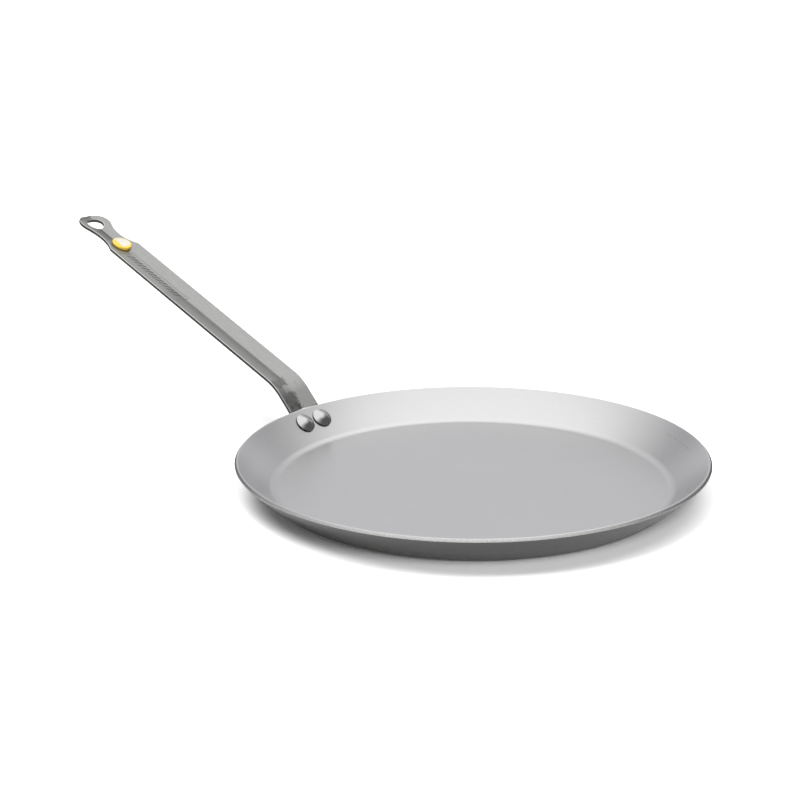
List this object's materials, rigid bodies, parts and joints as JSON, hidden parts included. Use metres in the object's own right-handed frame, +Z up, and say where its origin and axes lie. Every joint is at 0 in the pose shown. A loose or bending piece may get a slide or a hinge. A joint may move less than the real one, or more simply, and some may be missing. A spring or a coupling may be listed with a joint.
{
  "type": "crepe pan",
  "caption": "Shallow round steel crepe pan: flat base, sloping wall with a bare cut rim, a bent gutter-shaped strip handle riveted outside the wall, a hanging eyelet and a pull-out button.",
  "frame": {"origin": "centre of the base's underside", "axes": "+Z up out of the dish, +X along the handle, +Y to the left of someone who looks along +X"},
  "size_m": [0.5299, 0.2994, 0.1308],
  "materials": {
    "dish_steel": "satin carbon steel, lightly waxed, with a cut edge at the rim",
    "handle_steel": "satin steel strip with darker oxide in the gutter",
    "rivet_steel": "polished steel",
    "button_rubber": "smooth yellow moulding with a plain pale inlay"
  },
  "bodies": {
    "pan": {"pan_body": "dish_steel", "handle": "handle_steel", "left_rivet": "rivet_steel", "right_rivet": "rivet_steel"},
    "button": {"handle_button": "button_rubber"}
  },
  "joints": [
    {"name": "button_pull", "type": "slide", "parent": "pan", "child": "button", "axis": [-0.4003, 0, 0.9164], "range_m": [0, 0.022]}
  ]
}
